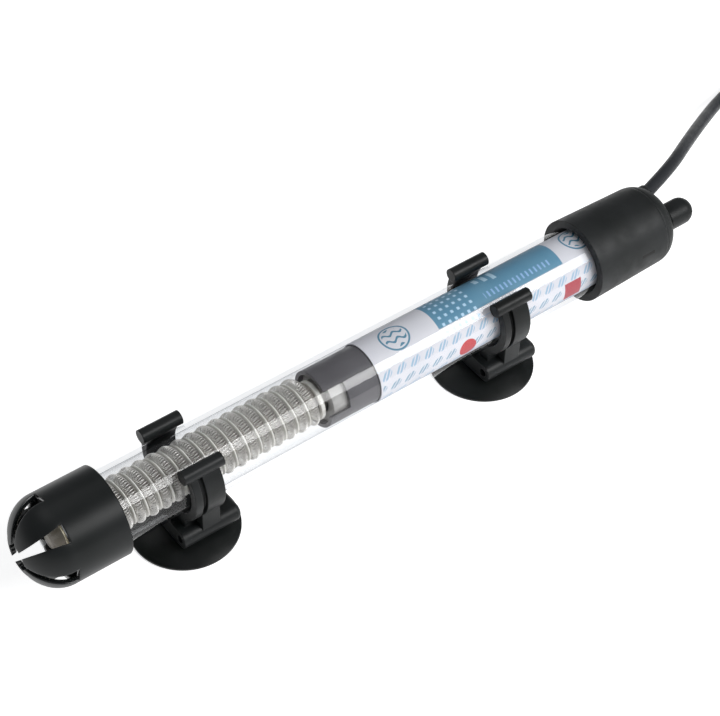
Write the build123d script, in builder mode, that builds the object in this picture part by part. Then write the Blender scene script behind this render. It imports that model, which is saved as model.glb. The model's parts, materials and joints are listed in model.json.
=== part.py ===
from build123d import *
import math
import os

# Submersible aquarium heater, millimetres.
# The glass tube lies along +X, with its closed end at -X and the cap, the knob
# and the lead at +X. It rests on two suction cups, whose rims are at Z = 0.

# ---- driving dimensions ----
GLASS_R = 11.35                 # outer radius of the tube
GLASS_WALL = 1.45
AXIS_Z = 25.5                   # height of the tube's axis over the cups' rims
OVERALL = 250.2                 # guard tip to knob tip

LEFT = -OVERALL / 2             # guard tip
GUARD_LEN = 28.8
GUARD_R = 14.1
GUARD_WALL = 1.5
GUARD_DOME = 11.6               # length of the rounded nose
GUARD_RIM = LEFT + GUARD_LEN
SLOT_W_TIP, SLOT_W_END = 1.5, 5.7   # each slot widens from the tip to its inner end
SLOT_LEN = 11.6                 # measured from the tip
MOUTH_R = 4.0
SLOTS = 6
SLOT_ANGLE = 128                # of the first slot, round the tube from +Y towards +Z

CAP_LEN = 35.6
CAP_R = 14.0
CAP_END_R = 13.3
CAP_ROUND = 7.5
KNOB_LEN = 11.1
KNOB_GAP = 0.4
KNOB_R = 4.5
CAP_END = OVERALL / 2 - KNOB_LEN - KNOB_GAP
CAP_RIM = CAP_END - CAP_LEN
CAP_WALL_X = CAP_END - 5.0      # inner face of the cap's end wall
CAP_STEP_X = CAP_RIM + 20.0     # where the glass stops inside the cap

GLASS_LEFT = LEFT + 8.1
GLASS_RIGHT = CAP_STEP_X - 1.6
BORE_R = GLASS_R - GLASS_WALL

KNOB_Y = -3.4                   # the knob stands off the tube's axis
KNOB_Z = AXIS_Z + 1.5
SPINDLE_R = 1.5
RUN_GAP = 0.05                  # radial clearance of a running fit

CORD_D = 4.4
CORD_R = CORD_D / 2
CORD_Y = 6.0
CORD_Z = AXIS_Z + 6.0
CORD_EXIT = (CAP_END + 0.6, CORD_Y, CORD_Z)
COIL_CENTRE = (248.0, 30.0)     # the put-away coil, on the floor
COIL_MID_R = 24.0
COIL_TURNS_WIDE, COIL_TURNS_HIGH = 3, 2
COIL_WIDE = COIL_TURNS_WIDE * CORD_D
COIL_HIGH = COIL_TURNS_HIGH * CORD_D
OUTER_TURN_R = COIL_MID_R + COIL_WIDE / 2 - CORD_R
PLUG_TAIL = (228.0, -22.0, 6.9)  # where the lead enters the plug's strain relief

CORE_LEFT = -103.0
HOLDER_LEFT = -24.4
LABEL_LEFT = -6.2
LABEL_R = 9.8
LABEL_WALL = 0.3
CORE_R = 5.0
COIL_PITCH = 4.36
COIL_SECTION_R = 1.5
COIL_R = CORE_R + 0.15 + COIL_SECTION_R
HOLDER_R = 9.3
NOTCH_ANGLE = 150

CLIP_X = (-71.0, 42.5)          # the two clips along the tube
CLIP_NAMES = ("lower", "upper")
CLIP_IN_R = GLASS_R + 0.3
CLIP_WALL = 2.0
CLIP_W = 10.0
BEAD_R = 2.2
BEAD_L = 13.4
BEAD_SHIFT = 0.5                # the front bead stands this much towards the cap, the back one away
BEAD_Y = 9.9
BEAD_Z = AXIS_Z + 9.7
FOOT_LEFT, FOOT_RIGHT = -7.0, 13.0   # from the clip's centre
FOOT_R = 3.0
FOOT_Y = 8.5
FOOT_Z = 7.2
CUP_R = 16.8
CUP_TOP = 3.6
STUD_R = 3.0

os.makedirs("parts", exist_ok=True)


NOSE_ARC = 88                   # degrees of a dome's arc, which ends in a small flat on the axis


def save(piece, name):
    """label a finished piece and write its STEP file"""
    piece.part.label = name
    export_step(piece.part, f"parts/{name}.step")


def across(x, y=0.0, z=AXIS_Z):
    """a plane square to the tube at x, whose normal is +X"""
    return Plane(origin=(x, y, z), x_dir=(0, 1, 0), z_dir=(1, 0, 0))


def along(y=0.0):
    """the upright plane through the tube's axis: local x is +X, local y is +Z"""
    return Plane(origin=(0, y, AXIS_Z), x_dir=(1, 0, 0), z_dir=(0, -1, 0))


TUBE_AXIS = Axis((0, 0, AXIS_Z), (1, 0, 0))


def domed_bar(right, dome_x, dome_len, radius):
    """solid bar along the tube's axis, with a half-ellipsoid nose towards -X"""
    with BuildPart() as bar:
        with BuildSketch(along()):
            with BuildLine():
                nose = EllipticalCenterArc((dome_x, 0), dome_len, radius, start_angle=90, arc_size=NOSE_ARC)
                tip = nose @ 1
                Polyline(tip, (tip.X, 0), (right, 0), (right, radius), (dome_x, radius))
            make_face()
        revolve(axis=TUBE_AXIS)
    return bar


# ---- glass tube, closed and rounded at its lower end ----
GLASS_DOME = 9.0
DOME_X = GLASS_LEFT + GLASS_DOME
glass_outside = domed_bar(GLASS_RIGHT, DOME_X, GLASS_DOME, GLASS_R)
glass_inside = domed_bar(GLASS_RIGHT, DOME_X, GLASS_DOME - GLASS_WALL, BORE_R)
with BuildPart() as glass_tube:
    add(glass_outside.part)
    add(glass_inside.part, mode=Mode.SUBTRACT)
save(glass_tube, "glass_tube")

# ---- slotted guard over the closed end ----
# the mouth's edge is the guard's tip, so the whole nose would reach a little further
NOSE_X = LEFT + GUARD_DOME * math.sqrt(1 - (MOUTH_R / GUARD_R) ** 2)
GUARD_IN_R = GUARD_R - GUARD_WALL
guard_outside = domed_bar(GUARD_RIM, NOSE_X, GUARD_DOME, GUARD_R)
guard_inside = domed_bar(GUARD_RIM, NOSE_X, GUARD_DOME - GUARD_WALL, GUARD_IN_R)
with BuildPart() as bottom_guard:
    add(guard_outside.part)
    add(guard_inside.part, mode=Mode.SUBTRACT)
    # two collars inside hold the glass
    for collar_x in (GUARD_RIM - 4.0, GUARD_RIM - 14.0):
        with BuildSketch(across(collar_x)):
            Circle(GUARD_IN_R + 0.2)
            Circle(GLASS_R, mode=Mode.SUBTRACT)
        extrude(amount=2.0)
    # slots from the nose, evenly round it, and an open mouth between them
    with BuildSketch(across(LEFT - 1.0)):
        Circle(MOUTH_R)
    extrude(amount=SLOT_LEN, mode=Mode.SUBTRACT)
    for turn in range(SLOTS):
        outward = math.radians(SLOT_ANGLE + 360 / SLOTS * turn)
        slot_plane = Plane(
            origin=(LEFT, 0, AXIS_Z), x_dir=(1, 0, 0), z_dir=(0, math.cos(outward), math.sin(outward))
        )
        with BuildSketch(slot_plane):
            with BuildLine():
                Polyline(
                    (-1.0, -SLOT_W_TIP / 2),
                    (SLOT_LEN, -SLOT_W_END / 2),
                    (SLOT_LEN, SLOT_W_END / 2),
                    (-1.0, SLOT_W_TIP / 2),
                    close=True,
                )
            make_face()
        extrude(amount=GUARD_R + 1.0, mode=Mode.SUBTRACT)
save(bottom_guard, "bottom_guard")

# ---- heating element: ceramic core, its end pieces and the wire coil ----
with BuildPart() as ceramic_core:
    with BuildSketch(across(CORE_LEFT)):
        Circle(CORE_R)
    extrude(amount=HOLDER_LEFT + 6.0 - CORE_LEFT)
save(ceramic_core, "ceramic_core")

WASHER_T = 1.2
WASHER_R = CORE_R + 1.4
with BuildPart() as core_washers:
    for washer_x in (CORE_LEFT, HOLDER_LEFT - WASHER_T):
        with BuildSketch(across(washer_x)):
            Circle(WASHER_R)
            Circle(CORE_R, mode=Mode.SUBTRACT)
        extrude(amount=WASHER_T)
save(core_washers, "core_washers")

# end piece in the dome of the glass: a cone, a collar and a neck
TIP_LEFT, COLLAR_LEFT, COLLAR_RIGHT = -115.2, -111.6, -109.6
TIP_R, CONE_R, COLLAR_R, NECK_R = 2.4, 4.8, 6.2, 5.4
with BuildPart() as core_tip:
    with BuildSketch(along()):
        with BuildLine():
            Polyline(
                (TIP_LEFT, 0),
                (TIP_LEFT, TIP_R),
                (COLLAR_LEFT, CONE_R),
                (COLLAR_LEFT, COLLAR_R),
                (COLLAR_RIGHT, COLLAR_R),
                (COLLAR_RIGHT, NECK_R),
                (CORE_LEFT, NECK_R),
                (CORE_LEFT, 0),
                close=True,
            )
        make_face()
    revolve(axis=TUBE_AXIS)
save(core_tip, "core_tip")

COIL_LEFT = CORE_LEFT + WASHER_T + COIL_SECTION_R + 0.4
COIL_SPAN = HOLDER_LEFT - WASHER_T - COIL_SECTION_R - 0.4 - COIL_LEFT
with BuildPart() as heating_coil:
    with BuildLine() as coil_line:
        Helix(COIL_PITCH, COIL_SPAN, COIL_R, center=(COIL_LEFT, 0, AXIS_Z), direction=(1, 0, 0))
    coil_path = coil_line.line
    with BuildSketch(Plane(origin=coil_path @ 0, z_dir=coil_path % 0)):
        Circle(COIL_SECTION_R)
    sweep(path=coil_path, is_frenet=True)
save(heating_coil, "heating_coil")

# ---- dark holder that joins the element to the thermostat ----
HOLDER_WALL = 1.2
with BuildPart() as element_holder:
    with BuildSketch(across(HOLDER_LEFT)):
        Circle(HOLDER_R)
        Circle(HOLDER_R - HOLDER_WALL, mode=Mode.SUBTRACT)
    extrude(amount=LABEL_LEFT - HOLDER_LEFT)
    with BuildSketch(across(LABEL_LEFT - 1.5)):
        Circle(HOLDER_R - 0.5)
    extrude(amount=1.5)
    # the notch that shows the ceramic plug, on the tube's front
    with BuildSketch(across(HOLDER_LEFT - 0.5)):
        with PolarLocations(HOLDER_R, 1, start_angle=NOTCH_ANGLE):
            Rectangle(8.0, 8.5)
    extrude(amount=7.5, mode=Mode.SUBTRACT)
save(element_holder, "element_holder")

with BuildPart() as ceramic_plug:
    with BuildSketch(across(HOLDER_LEFT + 2.0)):
        Circle(HOLDER_R - HOLDER_WALL - 0.1)
        Circle(CORE_R, mode=Mode.SUBTRACT)
    extrude(amount=10.0)
save(ceramic_plug, "ceramic_plug")

# ---- rolled paper label inside the glass ----
LABEL_RIGHT = GLASS_RIGHT - 14.0
with BuildPart() as label_sleeve:
    with BuildSketch(across(LABEL_LEFT)):
        Circle(LABEL_R)
        Circle(LABEL_R - LABEL_WALL, mode=Mode.SUBTRACT)
    extrude(amount=LABEL_RIGHT - LABEL_LEFT)
save(label_sleeve, "label_sleeve")

# ---- thermostat, hidden by the label ----
CHASSIS_Z = AXIS_Z - 4.0        # top face of the carrier plate
CHASSIS_T = 1.6
CHASSIS_X0, CHASSIS_X1 = 0.0, 76.0
SPRING_W = 5.0
LEAF_Z = KNOB_Z + 3.0           # underside of the contact leaf, clear of the cam
LEAF_T = 0.4
BUTTON_R = 1.5
BUTTON_T = 0.8
CONTACT_GAP = 0.2
BIMETAL_Z = LEAF_Z - 2 * BUTTON_T - CONTACT_GAP - LEAF_T   # the bimetal lies under the leaf
BIMETAL_POST_X = 22.0
LEAF_POST_X = 10.0
MAGNET_T = 1.2
CONTACT_X = 46.0
CAM_X = 55.0
with BuildPart() as thermostat_chassis:
    with BuildSketch(Plane.XY.offset(CHASSIS_Z - CHASSIS_T)):
        with Locations(((CHASSIS_X0 + CHASSIS_X1) / 2, 0)):
            Rectangle(CHASSIS_X1 - CHASSIS_X0, 15.0)
    extrude(amount=CHASSIS_T)
    for post_x, top in ((BIMETAL_POST_X, BIMETAL_Z), (LEAF_POST_X, LEAF_Z)):
        with BuildSketch(Plane.XY.offset(CHASSIS_Z)):
            with Locations((post_x, KNOB_Y)):
                Rectangle(5.0, SPRING_W)
        extrude(amount=top - CHASSIS_Z)
    # a bearing web for the spindle's end
    with BuildSketch(across(CAM_X + 8.0)):
        with Locations((KNOB_Y, 0.0)):
            Rectangle(7.0, 10.0)
        with Locations((KNOB_Y, KNOB_Z - AXIS_Z)):
            Circle(SPINDLE_R + RUN_GAP, mode=Mode.SUBTRACT)
    extrude(amount=3.0)
save(thermostat_chassis, "thermostat_chassis")


def spring_strip(x0, x1, z):
    """flat spring strip that lies on its post"""
    with BuildPart() as strip:
        with BuildSketch(Plane.XY.offset(z)):
            with Locations(((x0 + x1) / 2, KNOB_Y)):
                Rectangle(x1 - x0, SPRING_W)
        extrude(amount=LEAF_T)
    return strip


save(spring_strip(LEAF_POST_X - 2.5, CAM_X + 3.0, LEAF_Z), "contact_leaf")
save(spring_strip(BIMETAL_POST_X - 2.5, CONTACT_X + 2.5, BIMETAL_Z), "bimetal_strip")

with BuildPart() as fixed_contact:
    with Locations((CONTACT_X, KNOB_Y, LEAF_Z - BUTTON_T)):
        Cylinder(BUTTON_R, BUTTON_T, align=(Align.CENTER, Align.CENTER, Align.MIN))
save(fixed_contact, "fixed_contact")

with BuildPart() as moving_contact:
    with Locations((CONTACT_X, KNOB_Y, BIMETAL_Z + LEAF_T)):
        Cylinder(BUTTON_R, BUTTON_T, align=(Align.CENTER, Align.CENTER, Align.MIN))
save(moving_contact, "moving_contact")

with BuildPart() as snap_magnet:
    with Locations((CONTACT_X - 5.0, KNOB_Y, LEAF_Z - MAGNET_T)):
        Cylinder(1.4, MAGNET_T, align=(Align.CENTER, Align.CENTER, Align.MIN))
save(snap_magnet, "snap_magnet")

with BuildPart() as leaf_rivet:
    with Locations((LEAF_POST_X, KNOB_Y, LEAF_Z + LEAF_T)):
        Cylinder(1.1, 0.6, align=(Align.CENTER, Align.CENTER, Align.MIN))
save(leaf_rivet, "leaf_rivet")

with BuildPart() as suppression_capacitor:
    with Locations((32.0, 4.6, CHASSIS_Z + 2.5)):
        Box(9.0, 4.0, 5.0)
    fillet(suppression_capacitor.edges().filter_by(Axis.Z), 1.0)
save(suppression_capacitor, "suppression_capacitor")

with BuildPart() as lamp_resistor:
    with BuildSketch(across(48.0, 5.2, CHASSIS_Z + 1.25)):
        Circle(1.25)
    extrude(amount=7.0)
save(lamp_resistor, "lamp_resistor")

with BuildPart() as neon_lamp:
    with BuildSketch(across(64.0, 5.0, CHASSIS_Z + 2.0)):
        Circle(2.0)
    extrude(amount=8.0)
    fillet(neon_lamp.edges().group_by(Axis.X)[-1], 1.6)
save(neon_lamp, "neon_lamp")

# ---- spindle, its cam and the knob ----
SPINDLE_X0 = CAM_X - 1.0
with BuildPart() as spindle:
    with BuildSketch(across(SPINDLE_X0, KNOB_Y, KNOB_Z)):
        Circle(SPINDLE_R)
    extrude(amount=CAP_END + KNOB_GAP + 6.0 - SPINDLE_X0)
save(spindle, "spindle")

with BuildPart() as spindle_cam:
    with BuildSketch(across(CAM_X, KNOB_Y, KNOB_Z)):
        with Locations((0, 0.6)):
            Circle(2.3)
        Circle(SPINDLE_R, mode=Mode.SUBTRACT)
    extrude(amount=2.5)
save(spindle_cam, "spindle_cam")

with BuildPart() as adjusting_knob:
    with BuildSketch(across(CAP_END + KNOB_GAP, KNOB_Y, KNOB_Z)):
        Circle(KNOB_R)
    extrude(amount=KNOB_LEN)
    fillet(adjusting_knob.edges().group_by(Axis.X)[-1], KNOB_R - 0.3)
    with BuildSketch(across(CAP_END + KNOB_GAP, KNOB_Y, KNOB_Z)):
        Circle(SPINDLE_R)
    extrude(amount=6.0, mode=Mode.SUBTRACT)
save(adjusting_knob, "adjusting_knob")

# ---- rubber stopper in the tube's mouth, with the spindle's seal ----
STOPPER_X0 = GLASS_RIGHT - 12.0
WIRE_R = 0.7
WIRE_Z = AXIS_Z - 7.2
LIVE_Y, NEUTRAL_Y = -3.6, 3.6
SEAL_X0, SEAL_T = STOPPER_X0 + 4.0, 1.8
SEAL_R = SPINDLE_R + 1.7
with BuildPart() as rubber_stopper:
    with BuildSketch(across(STOPPER_X0)):
        Circle(BORE_R)
    extrude(amount=GLASS_RIGHT - STOPPER_X0)
    with BuildSketch(across(GLASS_RIGHT)):
        Circle(GLASS_R)
    extrude(amount=CAP_STEP_X - GLASS_RIGHT)
    with BuildSketch(across(STOPPER_X0)):
        with Locations((KNOB_Y, KNOB_Z - AXIS_Z)):
            Circle(SPINDLE_R + RUN_GAP)
        for wire_y in (LIVE_Y, NEUTRAL_Y):
            with Locations((wire_y, WIRE_Z - AXIS_Z)):
                Circle(WIRE_R)
    extrude(amount=CAP_STEP_X - STOPPER_X0, mode=Mode.SUBTRACT)
    with BuildSketch(across(SEAL_X0, KNOB_Y, KNOB_Z)):
        Circle(SEAL_R)
    extrude(amount=SEAL_T, mode=Mode.SUBTRACT)
save(rubber_stopper, "rubber_stopper")

with BuildPart() as spindle_seal:
    with BuildSketch(across(SEAL_X0, KNOB_Y, KNOB_Z)):
        Circle(SEAL_R)
        Circle(SPINDLE_R + RUN_GAP, mode=Mode.SUBTRACT)
    extrude(amount=SEAL_T)
save(spindle_seal, "spindle_seal")

# ---- rubber cap over the mouth ----
GROMMET_R = 2.9
CAP_HOLLOW_R = 9.2
with BuildPart() as top_cap:
    with BuildSketch(along()):
        with BuildLine():
            Polyline(
                (CAP_STEP_X, GLASS_R),
                (CAP_RIM, GLASS_R),
                (CAP_RIM, CAP_R),
                (CAP_END - CAP_ROUND, CAP_END_R),
            )
            EllipticalCenterArc(
                (CAP_END - CAP_ROUND, CAP_END_R - CAP_ROUND), CAP_ROUND, CAP_ROUND, start_angle=90, arc_size=-90
            )
            Polyline(
                (CAP_END, CAP_END_R - CAP_ROUND),
                (CAP_END, 0),
                (CAP_WALL_X, 0),
                (CAP_WALL_X, CAP_HOLLOW_R),
                (CAP_STEP_X, CAP_HOLLOW_R),
                (CAP_STEP_X, GLASS_R),
            )
        make_face()
    revolve(axis=TUBE_AXIS)
    with BuildSketch(across(CAP_WALL_X - 3.0)):
        with Locations((KNOB_Y, KNOB_Z - AXIS_Z)):
            Circle(SPINDLE_R + RUN_GAP)
        with Locations((CORD_Y, CORD_Z - AXIS_Z)):
            Circle(GROMMET_R)
    extrude(amount=12.0, mode=Mode.SUBTRACT)
save(top_cap, "top_cap")

# ---- wires and their crimps ----
WIRE_END_X = CAP_WALL_X - 1.0
CRIMP_L = 5.0
with BuildPart() as live_wire:
    with BuildSketch(across(LEAF_POST_X, LIVE_Y, WIRE_Z)):
        Circle(WIRE_R)
    extrude(amount=WIRE_END_X - LEAF_POST_X)
save(live_wire, "live_wire")

with BuildPart() as neutral_wire:
    with BuildSketch(across(CHASSIS_X0, NEUTRAL_Y, WIRE_Z)):
        Circle(WIRE_R)
    extrude(amount=WIRE_END_X - CHASSIS_X0)
save(neutral_wire, "neutral_wire")

with BuildPart() as crimp_terminals:
    for crimp_x, crimp_y in ((LEAF_POST_X - CRIMP_L, LIVE_Y), (CHASSIS_X0 - CRIMP_L, NEUTRAL_Y)):
        with BuildSketch(across(crimp_x, crimp_y, WIRE_Z)):
            Circle(1.1)
        extrude(amount=CRIMP_L)
save(crimp_terminals, "crimp_terminals")


# ---- spring clips that hold the tube ----
SOCKET_Z = FOOT_Z - FOOT_R
STUD_HEAD_R = 4.1
STUD_HEAD_Z0, STUD_HEAD_Z1 = SOCKET_Z + 3.2, SOCKET_Z + 5.0


def tube_clip(x):
    """C-shaped clip, open upwards, with a bead along each lip and a foot below"""
    with BuildPart() as clip:
        ribs = ((-4.4, 9.9, 1.4), (-4.4, 2.3, 2.7), (-0.5, 6.0, 2.7))
        for start, width, wall in ribs:
            with BuildSketch(across(x + start)):
                Circle(CLIP_IN_R + wall)
                Circle(CLIP_IN_R, mode=Mode.SUBTRACT)
                with BuildLine():
                    Polyline((0, 0), (BEAD_Y * 2, (BEAD_Z - AXIS_Z) * 2), (0, 40), close=True)
                make_face(mode=Mode.SUBTRACT)
                with BuildLine():
                    Polyline((0, 0), (-BEAD_Y * 2, (BEAD_Z - AXIS_Z) * 2), (0, 40), close=True)
                make_face(mode=Mode.SUBTRACT)
            extrude(amount=width)
        for bead_y, shift in ((BEAD_Y, -BEAD_SHIFT), (-BEAD_Y, BEAD_SHIFT)):
            with BuildSketch(across(x - BEAD_L / 2 + shift, bead_y, BEAD_Z)):
                Circle(BEAD_R)
            extrude(amount=BEAD_L)
        # foot: a rounded block under the tube
        with BuildSketch(across(x + FOOT_LEFT, 0, FOOT_Z)):
            SlotCenterToCenter(2 * FOOT_Y, 2 * FOOT_R)
        extrude(amount=FOOT_RIGHT - FOOT_LEFT)
        # web between the band and the foot, wider under the right rib
        for start, width, half in ((-4.4, 9.9, 7.5), (-0.5, 6.0, FOOT_Y + 2.4)):
            with BuildSketch(across(x + start)):
                with Locations((0, -13.5)):
                    Rectangle(2 * half, 9.0)
                Circle(CLIP_IN_R, mode=Mode.SUBTRACT)
            extrude(amount=width)
        fillet(clip.edges().filter_by(GeomType.CIRCLE).group_by(Axis.X)[-1], 1.6)
        # peg hole in the front edge of the foot
        with BuildSketch(across(x + FOOT_LEFT, -FOOT_Y, FOOT_Z)):
            Circle(1.4)
        extrude(amount=9.0, mode=Mode.SUBTRACT)
        # socket for the cup's stud
        with BuildSketch(Plane.XY.offset(SOCKET_Z - 0.5)):
            with Locations((x, 0)):
                Circle(STUD_R + RUN_GAP)
        extrude(amount=STUD_HEAD_Z0 - SOCKET_Z + 0.5, mode=Mode.SUBTRACT)
        with BuildSketch(Plane.XY.offset(STUD_HEAD_Z0 - 0.2)):
            with Locations((x, 0)):
                Circle(STUD_HEAD_R + 0.4)
        extrude(amount=STUD_HEAD_Z1 - STUD_HEAD_Z0 + 0.5, mode=Mode.SUBTRACT)
    return clip


def suction_cup(x):
    """domed rubber cup with a headed stud on top"""
    upright = Plane(origin=(x, 0, 0), x_dir=(1, 0, 0), z_dir=(0, -1, 0))
    with BuildPart() as cup:
        with BuildSketch(upright):
            with BuildLine():
                Line((0, 1.9), (0, STUD_HEAD_Z1))
                Polyline(
                    (0, STUD_HEAD_Z1),
                    (STUD_HEAD_R - 0.8, STUD_HEAD_Z1),
                    (STUD_HEAD_R, STUD_HEAD_Z1 - 0.8),
                    (STUD_HEAD_R, STUD_HEAD_Z0),
                    (STUD_R, STUD_HEAD_Z0),
                    (STUD_R, CUP_TOP),
                    (6.5, CUP_TOP),
                )
                ThreePointArc((6.5, CUP_TOP), (12.3, 2.7), (CUP_R, 0.7))
                Polyline((CUP_R, 0.7), (CUP_R, 0), (CUP_R - 2.2, 0))
                ThreePointArc((CUP_R - 2.2, 0), (9.0, 1.45), (3.0, 1.9))
                Line((3.0, 1.9), (0, 1.9))
            make_face()
        revolve(axis=Axis((x, 0, 0), (0, 0, 1)))
    return cup


for clip_name, clip_x in zip(CLIP_NAMES, CLIP_X):
    save(tube_clip(clip_x), f"tube_clip_{clip_name}")
    save(suction_cup(clip_x), f"suction_cup_{clip_name}")


# ---- mains lead: the stretch from the cap to the coil, and from the coil to the plug ----
def arc_radii(points):
    """the radius of each tangent arc, as large as its two runs allow"""
    places = [Vector(*point) for point in points]
    runs = [after - before for before, after in zip(places, places[1:])]
    radii = []
    for before, after in zip(runs, runs[1:]):
        half_turn = math.radians(before.get_angle(after)) / 2
        radii.append(0.45 * min(before.length, after.length) / math.tan(half_turn))
    print("lead radii", [round(radius, 1) for radius in radii])
    return radii


def lead_tube(points):
    """round tube along a lead's route"""
    with BuildPart() as tube:
        with BuildLine():
            path = FilletPolyline(*points, radius=arc_radii(points))
        with BuildSketch(Plane(origin=path @ 0, z_dir=path % 0)):
            Circle(CORD_R)
        sweep(path=path)
    section = math.pi * CORD_R**2
    print("lead volume over section times length", round(tube.part.volume / (section * path.length), 4))
    print("lead length", round(path.length, 1))
    return tube


COIL_X, COIL_Y = COIL_CENTRE
LEAD_ROUTE = [
    CORD_EXIT,
    (129.5, 10.9, 31.0),
    (148.7, 21.8, 25.0),
    (169.0, 34.0, 15.5),
    (189.0, 45.0, 7.5),
    (208.0, 53.0, 2.6),
    (228.0, COIL_Y + OUTER_TURN_R, CORD_R),
    (COIL_X, COIL_Y + OUTER_TURN_R, CORD_R),
]
TAIL_ROUTE = [
    (COIL_X + OUTER_TURN_R, COIL_Y, CORD_R),
    (COIL_X + OUTER_TURN_R, 10.0, CORD_R),
    (265.0, -12.0, 3.2),
    (247.0, -22.0, 6.9),
    PLUG_TAIL,
]
power_cord = lead_tube(LEAD_ROUTE)
save(power_cord, "power_cord")
cord_tail = lead_tube(TAIL_ROUTE)
save(cord_tail, "cord_tail")

with BuildPart() as cord_grommet:
    with BuildSketch(across(CAP_WALL_X - 1.0, CORD_Y, CORD_Z)):
        Circle(GROMMET_R)
    extrude(amount=CORD_EXIT[0] - CAP_WALL_X + 1.0)
    fillet(cord_grommet.edges().group_by(Axis.X)[-1], 0.4)
    add(power_cord.part, mode=Mode.SUBTRACT)
save(cord_grommet, "cord_grommet")

TIE_W, TIE_T = 5.0, 0.8
POCKET_GAP = 0.3
tie_plane = Plane(
    origin=(COIL_X - COIL_MID_R, COIL_Y - TIE_W / 2, COIL_HIGH / 2), x_dir=(1, 0, 0), z_dir=(0, 1, 0)
)
with BuildPart() as cord_tie:
    with BuildSketch(tie_plane):
        RectangleRounded(COIL_WIDE, COIL_HIGH, 2.0)
        RectangleRounded(COIL_WIDE - 2 * TIE_T, COIL_HIGH - 2 * TIE_T, 1.4, mode=Mode.SUBTRACT)
    extrude(amount=TIE_W)
save(cord_tie, "cord_tie")

with BuildPart() as cord_coil:
    section_plane = Plane(
        origin=(COIL_X + COIL_MID_R, COIL_Y, COIL_HIGH / 2), x_dir=(1, 0, 0), z_dir=(0, -1, 0)
    )
    with BuildSketch(section_plane):
        RectangleRounded(COIL_WIDE, COIL_HIGH, 2.0)
    revolve(axis=Axis((COIL_X, COIL_Y, 0), (0, 0, 1)))
    # a waist that the tie fills
    with BuildSketch(tie_plane):
        Rectangle(COIL_WIDE + 2.0, COIL_HIGH + 2.0)
        RectangleRounded(COIL_WIDE - 2 * TIE_T, COIL_HIGH - 2 * TIE_T, 1.4, mode=Mode.SUBTRACT)
    extrude(amount=TIE_W, mode=Mode.SUBTRACT)
    # pockets where the lead runs in along the outer turn, and out again
    with BuildSketch(Plane.XY.offset(-POCKET_GAP)):
        with Locations((COIL_X, COIL_Y + OUTER_TURN_R)):
            Rectangle(20.0, CORD_D + 3 * POCKET_GAP, align=(Align.MAX, Align.CENTER))
        with Locations((COIL_X + OUTER_TURN_R, COIL_Y)):
            Rectangle(CORD_D + 3 * POCKET_GAP, 20.0, align=(Align.CENTER, Align.MAX))
    extrude(amount=CORD_D + 2 * POCKET_GAP, mode=Mode.SUBTRACT)
save(cord_coil, "cord_coil")

# ---- two-pin plug lying on its flat side ----
RELIEF_L, PLUG_L, PIN_L = 22.0, 30.0, 19.0
PLUG_T = 2 * PLUG_TAIL[2]
PIN_R, PIN_PITCH = 2.0, 19.0
PLUG_BACK_X = PLUG_TAIL[0] - RELIEF_L
PLUG_FACE_X = PLUG_BACK_X - PLUG_L
with BuildPart() as plug_body:
    with BuildSketch(Plane.XY):
        with BuildLine():
            Polyline(
                (PLUG_BACK_X, PLUG_TAIL[1] - 6.0),
                (PLUG_BACK_X, PLUG_TAIL[1] + 6.0),
                (PLUG_FACE_X + 12.0, PLUG_TAIL[1] + 17.5),
                (PLUG_FACE_X, PLUG_TAIL[1] + 17.5),
                (PLUG_FACE_X, PLUG_TAIL[1] - 17.5),
                (PLUG_FACE_X + 12.0, PLUG_TAIL[1] - 17.5),
                close=True,
            )
        make_face()
    extrude(amount=PLUG_T)
    fillet(plug_body.edges().filter_by(Axis.Z), 3.0)
    fillet(plug_body.faces().sort_by(Axis.Z)[-1].edges() + plug_body.faces().sort_by(Axis.Z)[0].edges(), 2.4)
    with BuildSketch(across(PLUG_BACK_X - 1.0, PLUG_TAIL[1], PLUG_TAIL[2])):
        Circle(4.6)
    with BuildSketch(across(PLUG_TAIL[0], PLUG_TAIL[1], PLUG_TAIL[2])):
        Circle(CORD_R + 0.7)
    loft()
save(plug_body, "plug_body")

with BuildPart() as plug_pins:
    with BuildSketch(across(PLUG_FACE_X, PLUG_TAIL[1], PLUG_TAIL[2])):
        with Locations((PIN_PITCH / 2, 0), (-PIN_PITCH / 2, 0)):
            Circle(PIN_R)
    extrude(amount=-PIN_L)
    fillet(plug_pins.edges().group_by(Axis.X)[0], 1.2)
save(plug_pins, "plug_pins")
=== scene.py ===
"""Submersible aquarium heater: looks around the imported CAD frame.

Metres, +X along the tube, +Z up.
"""

import json
import math

import bmesh
import bpy
from mathutils import Matrix, Vector


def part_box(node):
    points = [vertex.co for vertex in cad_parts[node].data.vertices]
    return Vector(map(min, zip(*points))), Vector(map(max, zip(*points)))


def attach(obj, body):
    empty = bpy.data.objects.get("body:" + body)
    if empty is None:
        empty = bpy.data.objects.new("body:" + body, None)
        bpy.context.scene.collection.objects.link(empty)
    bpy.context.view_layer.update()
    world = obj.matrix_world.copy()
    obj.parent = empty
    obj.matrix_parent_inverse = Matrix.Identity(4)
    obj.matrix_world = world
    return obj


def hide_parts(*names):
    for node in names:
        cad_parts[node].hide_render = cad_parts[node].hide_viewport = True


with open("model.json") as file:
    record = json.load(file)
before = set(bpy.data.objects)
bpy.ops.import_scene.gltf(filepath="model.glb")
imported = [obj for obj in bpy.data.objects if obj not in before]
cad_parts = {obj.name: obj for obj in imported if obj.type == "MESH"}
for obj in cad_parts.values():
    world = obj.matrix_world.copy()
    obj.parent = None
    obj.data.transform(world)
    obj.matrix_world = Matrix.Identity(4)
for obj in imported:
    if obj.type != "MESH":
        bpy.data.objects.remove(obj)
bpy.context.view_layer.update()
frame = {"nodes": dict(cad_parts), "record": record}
MM = 0.001

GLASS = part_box("glass_tube")
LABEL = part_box("label_sleeve")
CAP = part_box("top_cap")
AXIS_Z = (GLASS[0][2] + GLASS[1][2]) / 2


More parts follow.
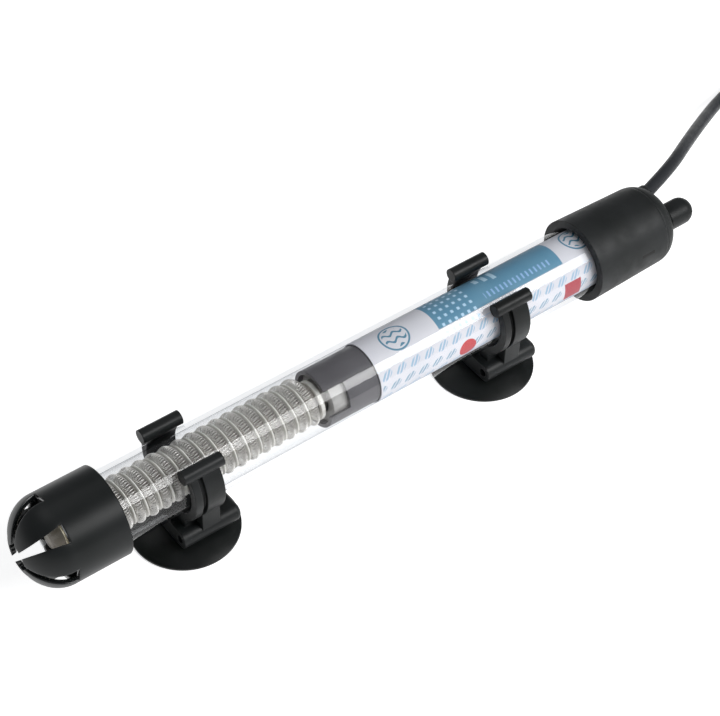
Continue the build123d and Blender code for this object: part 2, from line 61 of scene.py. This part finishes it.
# ---------------------------------------------------------------- camera
SENSOR, LENS = 36.0, 98.72     # mm
CAM_AZ, CAM_EL, CAM_ROLL = math.radians(-38.66), math.radians(46.61), math.radians(2.3)
CAM_DIST = 0.6332
CAM_TARGET = Vector((0.0122, 0.0243, 0.0))


def make_camera():
    back = Vector(
        (
            math.sin(CAM_AZ) * math.cos(CAM_EL),
            -math.cos(CAM_AZ) * math.cos(CAM_EL),
            math.sin(CAM_EL),
        )
    )
    level = Vector((math.cos(CAM_AZ), math.sin(CAM_AZ), 0))
    upright = back.cross(level)
    right = math.cos(CAM_ROLL) * level + math.sin(CAM_ROLL) * upright
    up = back.cross(right)
    data = bpy.data.cameras.new("camera")
    data.sensor_width = SENSOR
    data.sensor_fit = "HORIZONTAL"
    data.lens = LENS
    data.clip_start, data.clip_end = 0.01, 50
    camera = bpy.data.objects.new("camera", data)
    turn = Matrix((right, up, back)).transposed().to_4x4()
    camera.matrix_world = Matrix.Translation(CAM_TARGET + CAM_DIST * back) @ turn
    bpy.context.scene.collection.objects.link(camera)
    bpy.context.scene.camera = camera


make_camera()


# ---------------------------------------------------------------- small helpers
def link(name, data):
    piece = bpy.data.objects.new(name, data)
    bpy.context.scene.collection.objects.link(piece)
    return piece


def mesh_piece(name, verts, faces, smooth=True):
    mesh = bpy.data.meshes.new(name)
    mesh.from_pydata([tuple(v) for v in verts], [], faces)
    mesh.validate()
    work = bmesh.new()
    work.from_mesh(mesh)
    bmesh.ops.recalc_face_normals(work, faces=work.faces)
    work.to_mesh(mesh)
    work.free()
    for polygon in mesh.polygons:
        polygon.use_smooth = smooth
    return link(name, mesh)


class Nodes:
    """short way to write a material's node tree"""

    def __init__(self, name):
        self.material = bpy.data.materials.new(name)
        self.material.use_nodes = True
        self.tree = self.material.node_tree
        self.shader = self.tree.nodes["Principled BSDF"]
        self.output = self.tree.nodes["Material Output"]

    def node(self, kind, **values):
        made = self.tree.nodes.new(kind)
        for key, value in values.items():
            setattr(made, key, value)
        return made

    def join(self, source, target):
        self.tree.links.new(source, target)

    def put(self, target, value):
        if hasattr(value, "is_output"):
            self.join(value, target)
        else:
            target.default_value = value

    def math(self, operation, a, b=0.0):
        made = self.node("ShaderNodeMath", operation=operation)
        for socket, value in zip(made.inputs, (a, b)):
            self.put(socket, value)
        return made.outputs[0]

    def times(self, a, b):
        return self.math("MULTIPLY", a, b)

    def plus(self, a, b):
        return self.math("ADD", a, b)

    def minus(self, a, b):
        return self.math("SUBTRACT", a, b)

    def above(self, value, limit):
        return self.math("GREATER_THAN", value, limit)

    def below(self, value, limit):
        return self.math("LESS_THAN", value, limit)

    def within(self, value, limit):
        """1 where value is nearer to zero than limit"""
        return self.below(self.math("ABSOLUTE", value), limit)

    def mix(self, factor, a, b):
        made = self.node("ShaderNodeMix", data_type="RGBA")
        self.put(made.inputs[0], factor)
        self.put(made.inputs[6], a)
        self.put(made.inputs[7], b)
        return made.outputs[2]

    def noise(self, scale, detail):
        made = self.node("ShaderNodeTexNoise")
        made.inputs["Scale"].default_value = scale
        made.inputs["Detail"].default_value = detail
        self.join(self.place(), made.inputs["Vector"])
        return made.outputs["Fac"]

    def place(self):
        return self.node("ShaderNodeTexCoord").outputs["Object"]

    def between(self, value, low, high):
        """1 where low < value < high"""
        return self.times(self.above(value, low), self.below(value, high))

    def span(self, value, low, high, to_low=0.0, to_high=1.0):
        made = self.node("ShaderNodeMapRange")
        for socket, item in zip(made.inputs, (value, low, high, to_low, to_high)):
            self.put(socket, item)
        return made.outputs[0]

    def bump(self, height, strength, distance, normal=None):
        made = self.node("ShaderNodeBump")
        made.inputs["Strength"].default_value = strength
        made.inputs["Distance"].default_value = distance
        self.join(height, made.inputs["Height"])
        if normal is not None:
            self.join(normal, made.inputs["Normal"])
        return made.outputs[0]

    def soft_edges(self, radius):
        made = self.node("ShaderNodeBevel", samples=6)
        made.inputs["Radius"].default_value = radius
        return made.outputs[0]

    def set(self, **values):
        for key, value in values.items():
            self.put(self.shader.inputs[key.replace("_", " ")], value)


def rgb(r, g, b):
    return (r, g, b, 1.0)


# ---------------------------------------------------------------- materials
def moulded(name, dark, light, rough, edge, grain=900.0, grain_depth=0.00004, specular=0.2):
    """moulded plastic or rubber: faint mottling, fine grain, softened edges"""
    n = Nodes(name)
    mottle = n.span(n.noise(60.0, 4.0), 0.35, 0.65)
    n.set(Base_Color=n.mix(mottle, rgb(*dark), rgb(*light)))
    n.set(Roughness=n.span(n.noise(220.0, 2.0), 0.3, 0.7, rough - 0.05, rough + 0.06))
    n.set(Specular_IOR_Level=specular)
    n.set(Normal=n.bump(n.noise(grain, 2.0), 0.25, grain_depth, n.soft_edges(edge)))
    return n.material


MIRROR_FACING, MIRROR_EDGE = 0.042, 0.75     # share mirrored head on, and added at the edge


def clear_glass(name, tint, edge_tint):
    """thin clear wall: passes what is behind it and mirrors the lights by Fresnel"""
    n = Nodes(name)
    n.tree.nodes.remove(n.shader)
    clear = n.node("ShaderNodeBsdfTransparent")
    facing = n.node("ShaderNodeLayerWeight")
    facing.inputs["Blend"].default_value = 0.5
    slant = facing.outputs["Facing"]
    edge = n.math("POWER", slant, 3.0)
    n.put(clear.inputs["Color"], n.mix(edge, rgb(*tint), rgb(*edge_tint)))
    gloss = n.node("ShaderNodeBsdfGlossy")
    gloss.inputs["Roughness"].default_value = 0.06
    # only the faces towards the viewer mirror, so nothing is trapped in the wall
    fresnel = n.plus(n.times(n.math("POWER", slant, 5.0), MIRROR_EDGE), MIRROR_FACING)
    outside = n.minus(1.0, n.node("ShaderNodeNewGeometry").outputs["Backfacing"])
    fresnel = n.times(fresnel, outside)
    both = n.node("ShaderNodeMixShader")
    n.join(fresnel, both.inputs[0])
    n.join(clear.outputs[0], both.inputs[1])
    n.join(gloss.outputs[0], both.inputs[2])
    n.join(both.outputs[0], n.output.inputs["Surface"])
    return n.material


def ceramic(name, colour, stain):
    n = Nodes(name)
    n.set(Base_Color=n.mix(n.span(n.noise(320.0, 5.0), 0.4, 0.75), rgb(*colour), rgb(*stain)))
    n.set(Roughness=0.62)
    n.set(Normal=n.bump(n.noise(1500.0, 3.0), 0.3, 0.00005))
    return n.material


def darker(colour, share):
    return rgb(*[channel * share for channel in colour])


def plain_metal(name, colour, rough, metallic=1.0):
    n = Nodes(name)
    n.set(Metallic=metallic)
    n.set(Base_Color=n.mix(n.noise(700.0, 3.0), rgb(*colour), darker(colour, 0.75)))
    n.set(Roughness=n.span(n.noise(900.0, 2.0), 0.3, 0.7, rough - 0.05, rough + 0.08))
    return n.material


def glossy_body(name, colour, rough=0.3):
    n = Nodes(name)
    n.set(Base_Color=n.mix(n.noise(400.0, 2.0), rgb(*colour), darker(colour, 0.86)))
    n.set(Roughness=n.span(n.noise(500.0, 2.0), 0.3, 0.7, rough - 0.04, rough + 0.06))
    return n.material


# the label's layout, in mm from its left edge and in degrees round the tube,
# from +Y over the top to -Y at 180 and on to 360 below
LABEL_LEFT = LABEL[0][0]
LABEL_R = (LABEL[1][1] - LABEL[0][1]) / 2
MM_PER_DEGREE = LABEL_R * 1000 * math.pi / 180
PANEL_X0, PANEL_X1 = 25.0, 74.4
PANEL_A0, PANEL_A1 = 18, 121.5
DOT_PITCH_X, DOT_PITCH_A, DOT_HALF = 2.45, 2.5, 0.5
BAR_PITCH, BAR_W = 2.9, 1.5
TICK_PITCH, TICK_HALF = 1.7, 0.32
WAVE_MARKS = ((11.2, 93), (84.0, 84))
WAVE_PITCH, WAVE_HEIGHT, WAVE_HALF = 2.6, 0.55, 0.4
WAVES_R, RING_IN_R, RING_OUT_R = 3.9, 4.4, 5.0
DROP_ROWS = (151, 177, 203, 229)
DROP_PITCH, DROP_X1 = 5.3, 86.0
DISC_X, DISC_A, DISC_R = 33.2, 183, 3.2
SQUARE = (72.4, 79.0, 160, 200)


def printed_label():
    """rolled paper: blue panel with a dot grid, rows of small marks, one disc and one square"""
    n = Nodes("printed_label")
    parts = n.node("ShaderNodeSeparateXYZ")
    n.join(n.place(), parts.inputs[0])
    along = n.times(n.minus(parts.outputs[0], LABEL_LEFT), 1000.0)
    angle = n.math("ARCTAN2", n.minus(parts.outputs[2], AXIS_Z), parts.outputs[1])
    angle = n.math("MODULO", n.plus(angle, 2 * math.pi), 2 * math.pi)
    arc = n.times(n.times(angle, 180 / math.pi), MM_PER_DEGREE)

    def arc_at(degrees):
        return degrees * MM_PER_DEGREE

    def box_mask(x0, x1, a0, a1):
        return n.times(n.between(along, x0, x1), n.between(arc, arc_at(a0), arc_at(a1)))

    def disc_mask(x, degrees, radius, inner=0.0):
        dx = n.minus(along, x)
        da = n.minus(arc, arc_at(degrees))
        far = n.math("SQRT", n.plus(n.times(dx, dx), n.times(da, da)))
        return n.between(far, inner, radius)

    def cell(value, start, pitch):
        """distance from the middle of the repeating cell, in mm"""
        turns = n.math("DIVIDE", n.minus(value, start), pitch)
        return n.times(n.minus(n.math("FRACT", turns), 0.5), pitch)

    paper_mottle = n.span(n.noise(90.0, 3.0), 0.35, 0.7)
    colour = n.mix(paper_mottle, rgb(0.76, 0.755, 0.80), rgb(0.69, 0.695, 0.75))
    blue_mottle = n.span(n.noise(140.0, 4.0), 0.3, 0.7)
    blue = n.mix(blue_mottle, rgb(0.100, 0.275, 0.415), rgb(0.125, 0.305, 0.44))
    colour = n.mix(box_mask(PANEL_X0, PANEL_X1, PANEL_A0, PANEL_A1), colour, blue)
    # dot grid at the panel's left end, its last row on the white below it
    dots_x = n.math("ABSOLUTE", cell(along, PANEL_X0 + 1.0, DOT_PITCH_X))
    dots_a = n.math("ABSOLUTE", cell(arc, arc_at(125), DOT_PITCH_A))
    dots = n.below(n.math("MAXIMUM", dots_x, dots_a), DOT_HALF)
    grid = n.times(dots, box_mask(PANEL_X0 + 1.0, PANEL_X0 + 15.7, 38, 140))
    colour = n.mix(grid, colour, rgb(0.50, 0.72, 0.90))
    # generic mark on the panel: three short bars
    for bar in range(3):
        x0 = PANEL_X0 + 20.4 + BAR_PITCH * bar
        bar_mask = box_mask(x0, x0 + BAR_W, 57, 73 + 5 * bar)
        colour = n.mix(bar_mask, colour, rgb(0.45, 0.66, 0.80))
    # a ruled line of ticks along the panel's lower edge
    tick = n.within(cell(along, PANEL_X0, TICK_PITCH), TICK_HALF)
    ticks = n.times(tick, box_mask(PANEL_X0 + 19.6, PANEL_X1 - 3.0, 100, 112))
    colour = n.mix(ticks, colour, rgb(0.30, 0.50, 0.78))
    # generic water mark at each end of the label: waves inside a ring
    for x, degrees in WAVE_MARKS:
        ripple = n.times(n.math("SINE", n.times(along, 1.7)), WAVE_HEIGHT)
        waves = n.within(cell(n.plus(arc, ripple), arc_at(degrees), WAVE_PITCH), WAVE_HALF)
        waves = n.times(waves, disc_mask(x, degrees, WAVES_R))
        ring = disc_mask(x, degrees, RING_OUT_R, RING_IN_R)
        colour = n.mix(n.math("MAXIMUM", waves, ring), colour, rgb(0.10, 0.26, 0.38))
    # rows of small striped drops below the bright band
    for row, degrees in enumerate(DROP_ROWS):
        dx = cell(along, 0.2 + 2.6 * (row % 2), DROP_PITCH)
        da = n.minus(arc, arc_at(degrees))
        lean = n.plus(dx, n.times(da, 0.7))
        inside = n.plus(n.times(lean, lean), n.times(n.times(da, da), 1.3))
        stripes = n.above(n.math("SINE", n.times(lean, 4.6)), -0.35)
        drop = n.times(n.below(inside, 2.9), stripes)
        ink = rgb(0.36, 0.52, 0.68) if row % 2 == 0 else rgb(0.26, 0.40, 0.52)
        colour = n.mix(n.times(drop, n.between(along, 0.6, DROP_X1)), colour, ink)
    # thin rule over the drops
    rule = n.between(arc, arc_at(137.0), arc_at(138.5))
    colour = n.mix(rule, colour, rgb(0.55, 0.66, 0.80))
    # red disc and red square
    colour = n.mix(disc_mask(DISC_X, DISC_A, DISC_R), colour, rgb(0.55, 0.03, 0.04))
    colour = n.mix(box_mask(*SQUARE), colour, rgb(0.42, 0.03, 0.05))
    n.set(Base_Color=colour, Roughness=0.55)
    n.set(Normal=n.bump(n.noise(2500.0, 2.0), 0.15, 0.00002))
    return n.material


BLACK_PLASTIC = moulded(
    "black_plastic", (0.0045, 0.0055, 0.0055), (0.011, 0.0125, 0.013), 0.40, 0.0004, 1300.0, 0.00009
)
BLACK_RUBBER = moulded(
    "black_rubber", (0.012, 0.013, 0.014), (0.020, 0.021, 0.023), 0.46, 0.0005, 1400.0
)
CUP_RUBBER = moulded("cup_rubber", (0.003, 0.0045, 0.004), (0.007, 0.008, 0.008), 0.34, 0.0003)
JACKET = moulded("cord_jacket", (0.016, 0.018, 0.021), (0.024, 0.026, 0.030), 0.42, 0.0003, 1600.0)
MATERIALS = {
    "clear_glass": clear_glass("clear_glass", (0.97, 0.973, 0.975), (0.74, 0.75, 0.77)),
    "black_plastic": BLACK_PLASTIC,
    "black_rubber": BLACK_RUBBER,
    "white_ceramic": ceramic("white_ceramic", (0.78, 0.77, 0.73), (0.62, 0.60, 0.55)),
    "beige_ceramic": ceramic("beige_ceramic", (0.62, 0.55, 0.44), (0.48, 0.42, 0.33)),
    "heating_wire": plain_metal("heating_wire", (0.88, 0.86, 0.83), 0.30, 0.6),
    "dark_holder": moulded(
        "dark_holder", (0.088, 0.084, 0.092), (0.112, 0.108, 0.118), 0.42, 0.0003, 700.0,
        specular=0.4,
    ),
    "printed_label": printed_label(),
    "brass_parts": plain_metal("brass_parts", (0.80, 0.72, 0.52), 0.25),
    "contact_metal": plain_metal("contact_metal", (0.80, 0.80, 0.80), 0.25),
    "bimetal": plain_metal("bimetal", (0.60, 0.56, 0.50), 0.35),
    "component_body": glossy_body("component_body", (0.60, 0.45, 0.08)),
    "lamp_glass": glossy_body("lamp_glass", (0.80, 0.35, 0.20), 0.15),
    "wire_sleeving": glossy_body("wire_sleeving", (0.75, 0.75, 0.72), 0.4),
    "cord_jacket": JACKET,
    "tie_plastic": glossy_body("tie_plastic", (0.02, 0.02, 0.02), 0.4),
}
SLOT_OF = {part["node"]: part["material_slot"] for part in frame["record"]["subparts"]}
CREASE_IN, CREASE_HALF = 6.4 * MM, 0.5 * MM     # crease round the cap, from its end
SLIT_X0, SLIT_X1, SLIT_HALF = 95.5 * MM, 101.0 * MM, 0.6 * MM
SLIT_ANGLE, SLIT_R = math.radians(171), 13.3 * MM
COLLAR_X0, COLLAR_X1 = -111.8 * MM, -109.4 * MM     # bright collar of the core's tip
RING_PITCH = 0.9 * MM


def cap_rubber():
    """the moulding rubber, with a crease round the end's shoulder and a short slit in its side"""
    n = Nodes("cap_rubber")
    parts = n.node("ShaderNodeSeparateXYZ")
    n.join(n.place(), parts.inputs[0])
    along, across, up = parts.outputs
    shoulder = n.math("ABSOLUTE", n.minus(along, CAP[1][0] - CREASE_IN))
    crease = n.minus(1.0, n.span(shoulder, 0.0, CREASE_HALF))
    angle = n.math("ARCTAN2", n.minus(up, AXIS_Z), across)
    round_by = n.times(n.math("ABSOLUTE", n.minus(angle, SLIT_ANGLE)), SLIT_R)
    slit = n.times(n.between(along, SLIT_X0, SLIT_X1), n.below(round_by, SLIT_HALF))
    mottle = n.span(n.noise(60.0, 4.0), 0.35, 0.65)
    mottle = n.mix(mottle, rgb(0.007, 0.0085, 0.0085), rgb(0.015, 0.0165, 0.0175))
    # the slit is coloured near black: painted shade inside its recess; the bump below gives its
    # edges
    n.set(Base_Color=n.mix(slit, mottle, rgb(0.001, 0.001, 0.001)))
    n.set(Roughness=n.span(n.noise(220.0, 2.0), 0.3, 0.7, 0.46, 0.60))
    n.set(Specular_IOR_Level=0.24)
    depth = n.minus(n.times(n.noise(1100.0, 3.0), 0.12), crease)
    depth = n.minus(depth, n.times(slit, 2.0))
    n.set(Normal=n.bump(depth, 0.5, 0.00030, n.soft_edges(0.0005)))
    return n.material


def guard_plastic():
    """satin moulding whose cut faces, along the slots, are polished"""
    n = Nodes("guard_plastic")
    radial = n.node("ShaderNodeVectorMath", operation="MULTIPLY_ADD")
    n.join(n.place(), radial.inputs[0])
    radial.inputs[1].default_value = (0, 1, 1)
    radial.inputs[2].default_value = (0, 0, -AXIS_Z)
    unit = n.node("ShaderNodeVectorMath", operation="NORMALIZE")
    n.join(radial.outputs[0], unit.inputs[0])
    facing = n.node("ShaderNodeVectorMath", operation="DOT_PRODUCT")
    n.join(unit.outputs[0], facing.inputs[0])
    n.join(n.node("ShaderNodeNewGeometry").outputs["Normal"], facing.inputs[1])
    # outside faces look outwards; cut faces and the inside don't
    outside = n.span(facing.outputs["Value"], 0.05, 0.25)
    mottle = n.span(n.noise(60.0, 4.0), 0.35, 0.65)
    n.set(Base_Color=n.mix(mottle, rgb(0.0055, 0.007, 0.007), rgb(0.010, 0.0115, 0.012)))
    n.set(Roughness=n.span(outside, 0.0, 1.0, 0.16, 0.38))
    n.set(Specular_IOR_Level=n.span(outside, 0.0, 1.0, 0.8, 0.2))
    n.set(Normal=n.bump(n.noise(900.0, 2.0), 0.2, 0.00004, n.soft_edges(0.0007)))
    return n.material


def tip_ceramic():
    """beige ceramic with a bright ridged collar"""
    n = Nodes("tip_ceramic")
    along = n.node("ShaderNodeSeparateXYZ")
    n.join(n.place(), along.inputs[0])
    collar = n.between(along.outputs[0], COLLAR_X0, COLLAR_X1)
    stained = n.mix(n.noise(300.0, 4.0), rgb(0.62, 0.55, 0.45), rgb(0.40, 0.35, 0.28))
    n.set(Base_Color=n.mix(collar, stained, rgb(0.72, 0.66, 0.50)))
    n.set(Metallic=collar)
    n.set(Roughness=n.span(collar, 0.0, 1.0, 0.5, 0.25))
    rings = n.math("SINE", n.times(along.outputs[0], 2 * math.pi / RING_PITCH))
    n.set(Normal=n.bump(n.times(rings, collar), 0.6, 0.0003))
    return n.material


OWN_MATERIAL = {
    "top_cap": cap_rubber(),
    "core_tip": tip_ceramic(),
    "ceramic_plug": ceramic("grey_ceramic", (0.44, 0.43, 0.42), (0.30, 0.29, 0.28)),
    "bottom_guard": guard_plastic(),
    "suction_cup_lower": CUP_RUBBER,
    "suction_cup_upper": CUP_RUBBER,
}
for node, piece in frame["nodes"].items():
    piece.data.materials.clear()
    piece.data.materials.append(OWN_MATERIAL.get(node, MATERIALS[SLOT_OF[node]]))


# ---------------------------------------------------------------- the lead
CORD_R = 2.2 * MM
CORD_D = 2 * CORD_R
COIL_X, COIL_Y, COIL_MID_R = 248.0 * MM, 30.0 * MM, 24.0 * MM
OUTER_TURN_R = COIL_MID_R + CORD_D
CORD_EXIT = (CAP[1][0] + 0.6 * MM, 6.0 * MM, 31.5 * MM)
PLUG_TAIL = (228.0 * MM, -22.0 * MM, 6.9 * MM)
LEAD_ROUTE = [
    CORD_EXIT,
    (0.1295, 0.0109, 0.0310),
    (0.1487, 0.0218, 0.0250),
    (0.1690, 0.0340, 0.0155),
    (0.1890, 0.0450, 0.0075),
    (0.2080, 0.0530, 0.0026),
    (0.2280, COIL_Y + OUTER_TURN_R, CORD_R),
]
TAIL_ROUTE = [
    (COIL_X + OUTER_TURN_R, 0.0100, 0.0040),
    (0.2650, -0.0120, 0.0032),
    (0.2470, -0.0220, 0.0069),
    PLUG_TAIL,
]
LANES = [(1, 0), (0, 0), (-1, 0), (-1, 1), (0, 1), (1, 1)]  # place across and up, in diameters
TURNS = 6.25
POINTS_PER_TURN = 14
LANE_CHANGE = 0.78, 0.2     # where in a turn the next lane is taken, and over what share of it


def coil_points():
    """turns that lie side by side and then on each other, out of the lead and into the tail"""
    points = []
    steps = round(TURNS * POINTS_PER_TURN)
    # the spline cuts its corners, so the points stand a little outside the turns
    widen = 1 / (0.5 + 0.5 * math.cos(math.pi / POINTS_PER_TURN))
    last = len(LANES) - 1
    change_at, change_over = LANE_CHANGE
    for step in range(steps + 1):
        turned = step / POINTS_PER_TURN
        lane = min(int(turned), last)
        after = min(lane + 1, last)
        shift = min(max((turned - lane - change_at) / change_over, 0.0), 1.0)
        shift = shift * shift * (3 - 2 * shift)
        across = LANES[lane][0] + (LANES[after][0] - LANES[lane][0]) * shift
        layer = LANES[lane][1] + (LANES[after][1] - LANES[lane][1]) * shift
        radius = (COIL_MID_R + across * CORD_D) * widen
        angle = math.pi / 2 - 2 * math.pi * turned
        x = COIL_X + radius * math.cos(angle)
        y = COIL_Y + radius * math.sin(angle)
        points.append((x, y, CORD_R + layer * CORD_D))
    return points


def make_lead():
    curve = bpy.data.curves.new("power_lead", "CURVE")
    curve.dimensions = "3D"
    spline = curve.splines.new("NURBS")
    points = LEAD_ROUTE + coil_points() + TAIL_ROUTE
    spline.points.add(len(points) - 1)
    for place, point in zip(spline.points, points):
        place.co = (*point, 1.0)
    spline.order_u = 3
    spline.use_endpoint_u = True
    spline.resolution_u = 8
    curve.bevel_depth = CORD_R
    curve.bevel_resolution = 5
    curve.use_fill_caps = True
    lead = link("power_lead", curve)
    lead.data.materials.append(JACKET)
    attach(lead, "heater")
    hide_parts("power_cord", "cord_coil", "cord_tail")


make_lead()


# ---------------------------------------------------------------- heating element
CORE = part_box("ceramic_core")
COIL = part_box("heating_coil")
CORE_R = (CORE[1][1] - CORE[0][1]) / 2
COIL_OUT_R = (COIL[1][1] - COIL[0][1]) / 2
COIL_PITCH = 4.36 * MM
# the element leans inside the glass: how far its holder end stands off the axis
LEAN_Y, LEAN_Z = 0.85 * MM, 0.60 * MM
WIRE_R = 0.13 * MM
WIRE_PITCH = 0.74 * MM
RIDGE_W = 0.55 * MM
RIDGE_LOW_R, RIDGE_HIGH_R = CORE_R - 0.3 * MM, CORE_R + 2.5 * MM
RIDGE_START = COIL_PITCH / 2 + 1.5 * MM     # half a pitch from the wire
# the ridge's section: share of its width along the core, and radius
RIDGE_SECTION = [
    (-0.62, RIDGE_LOW_R),
    (-0.42, RIDGE_HIGH_R - 0.1 * MM),
    (-0.2, RIDGE_HIGH_R),
    (0.2, RIDGE_HIGH_R),
    (0.42, RIDGE_HIGH_R - 0.1 * MM),
    (0.62, RIDGE_LOW_R),
]


def leaned(piece):
    """shear a piece of the element about its lower end"""
    left, right = CORE[0][0], CORE[1][0]
    for vert in piece.data.vertices:
        share = (vert.co.x - left) / (right - left)
        vert.co.y += LEAN_Y * share
        vert.co.z += LEAN_Z * share


def wound_wire():
    """fine wire wound into a long spring, which is itself wound round the core"""
    small_r = (COIL_OUT_R - CORE_R) / 2 - WIRE_R - 0.06 * MM
    big_r = COIL_OUT_R - small_r - WIRE_R
    start = COIL[0][0] + small_r + WIRE_R
    stop = COIL[1][0] - small_r - WIRE_R
    turns = (stop - start) / COIL_PITCH
    per_turn = round(2 * math.pi * big_r / WIRE_PITCH)
    around, sides = 12, 5
    total = int(turns * per_turn * around)
    rise = COIL_PITCH / (2 * math.pi)

    def centre(step):
        big = 2 * math.pi * step / (per_turn * around)
        small = 2 * math.pi * step / around
        out = Vector((0, math.cos(big), math.sin(big)))
        ahead = Vector((rise / big_r, -math.sin(big), math.cos(big))).normalized()
        side = ahead.cross(out)
        reach = math.cos(small) * out + math.sin(small) * side
        middle = Vector((start + rise * big, 0, AXIS_Z)) + big_r * out + small_r * reach
        return middle, reach

    verts, faces = [], []
    for step in range(total + 1):
        middle, reach = centre(step)
        heading = (centre(step + 1)[0] - centre(step - 1)[0]).normalized()
        bound = heading.cross(reach)
        for side in range(sides):
            turn = 2 * math.pi * side / sides
            verts.append(middle + WIRE_R * (math.cos(turn) * reach + math.sin(turn) * bound))
    for step in range(total):
        for side in range(sides):
            a, b = step * sides + side, step * sides + (side + 1) % sides
            faces.append((a, b, b + sides, a + sides))
    faces.append(tuple(range(sides))[::-1])
    faces.append(tuple(range(total * sides, total * sides + sides)))
    piece = mesh_piece("wound_wire", verts, faces)
    leaned(piece)
    piece.data.materials.append(MATERIALS["heating_wire"])
    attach(piece, "heater")
    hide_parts("heating_coil")


def grooved_core():
    """ceramic core with a thin helical ridge that keeps the windings apart"""
    verts, faces = [], []
    sides, steps_per_turn = 48, 48
    # the plain rod
    for x in (CORE[0][0], CORE[1][0]):
        for side in range(sides):
            turn = 2 * math.pi * side / sides
            verts.append((x, CORE_R * math.cos(turn), AXIS_Z + CORE_R * math.sin(turn)))
    for side in range(sides):
        after = (side + 1) % sides
        faces.append((side, after, sides + after, sides + side))
    faces.append(tuple(range(sides))[::-1])
    faces.append(tuple(range(sides, 2 * sides)))
    # the ridge: a tapered helical fin
    first = COIL[0][0] + RIDGE_START
    turns = (COIL[1][0] - first) / COIL_PITCH - 0.35
    total = int(turns * steps_per_turn)
    base = len(verts)
    for step in range(total + 1):
        big = 2 * math.pi * step / steps_per_turn
        x = first + COIL_PITCH * step / steps_per_turn
        for shift, radius in RIDGE_SECTION:
            y, z = radius * math.cos(big), AXIS_Z + radius * math.sin(big)
            verts.append((x + shift * RIDGE_W, y, z))
    count = len(RIDGE_SECTION)
    for step in range(total):
        for place in range(count):
            a = base + step * count + place
            b = base + step * count + (place + 1) % count
            faces.append((a, b, b + count, a + count))
    faces.append(tuple(base + place for place in range(count)))
    faces.append(tuple(base + total * count + place for place in range(count))[::-1])
    piece = mesh_piece("grooved_core", verts, faces)
    leaned(piece)
    piece.data.materials.append(MATERIALS["white_ceramic"])
    # second, darker ceramic for the rod: painted shade under the windings
    piece.data.materials.append(ceramic("painted_shade_ceramic", (0.36, 0.33, 0.30), (0.26, 0.24, 0.22)))
    # the rod between the ridges is darker: painted shade from the wire wound over it
    for polygon in piece.data.polygons:
        polygon.material_index = 1 if max(polygon.vertices) < 2 * sides else 0
    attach(piece, "heater")
    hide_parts("ceramic_core")


wound_wire()
grooved_core()


# ---------------------------------------------------------------- light and floor
def area_light(name, direction, distance, width, length, radiance):
    """soft box that looks at the tube, its long side parallel to it"""
    data = bpy.data.lights.new(name, "AREA")
    data.shape = "RECTANGLE"
    data.size, data.size_y = length, width
    data.energy = radiance * math.pi * length * width
    lamp = bpy.data.objects.new(name, data)
    back = Vector(direction).normalized()
    along = Vector((1, 0, 0))
    level = (along - along.dot(back) * back).normalized()
    up = back.cross(level)
    turn = Matrix((level, up, back)).transposed().to_4x4()
    lamp.matrix_world = Matrix.Translation(Vector((0, 0, AXIS_Z)) + distance * back) @ turn
    bpy.context.scene.collection.objects.link(lamp)


area_light("front_strip", (0.43, -0.65, 0.64), 0.9, 0.40, 0.62, 9.0)
area_light("top_fill", (-0.1, 0.35, 0.93), 1.2, 0.8, 0.8, 1.0)

world = bpy.data.worlds.new("studio")
bpy.context.scene.world = world
world.use_nodes = True
background = world.node_tree.nodes["Background"]
background.inputs["Color"].default_value = rgb(0.96, 0.98, 1.0)
background.inputs["Strength"].default_value = 0.30


def make_floor():
    half = 3.0
    below = -0.0002
    floor = mesh_piece(
        "floor",
        [(-half, -half, below), (half, -half, below), (half, half, below), (-half, half, below)],
        [(0, 1, 2, 3)],
        smooth=False,
    )
    n = Nodes("floor")
    n.set(Base_Color=rgb(0.9, 0.9, 0.9), Roughness=0.8)
    n.set(Emission_Color=rgb(1, 1, 1), Emission_Strength=0.62)
    floor.data.materials.append(n.material)


make_floor()
bpy.context.scene.view_settings.view_transform = "Standard"
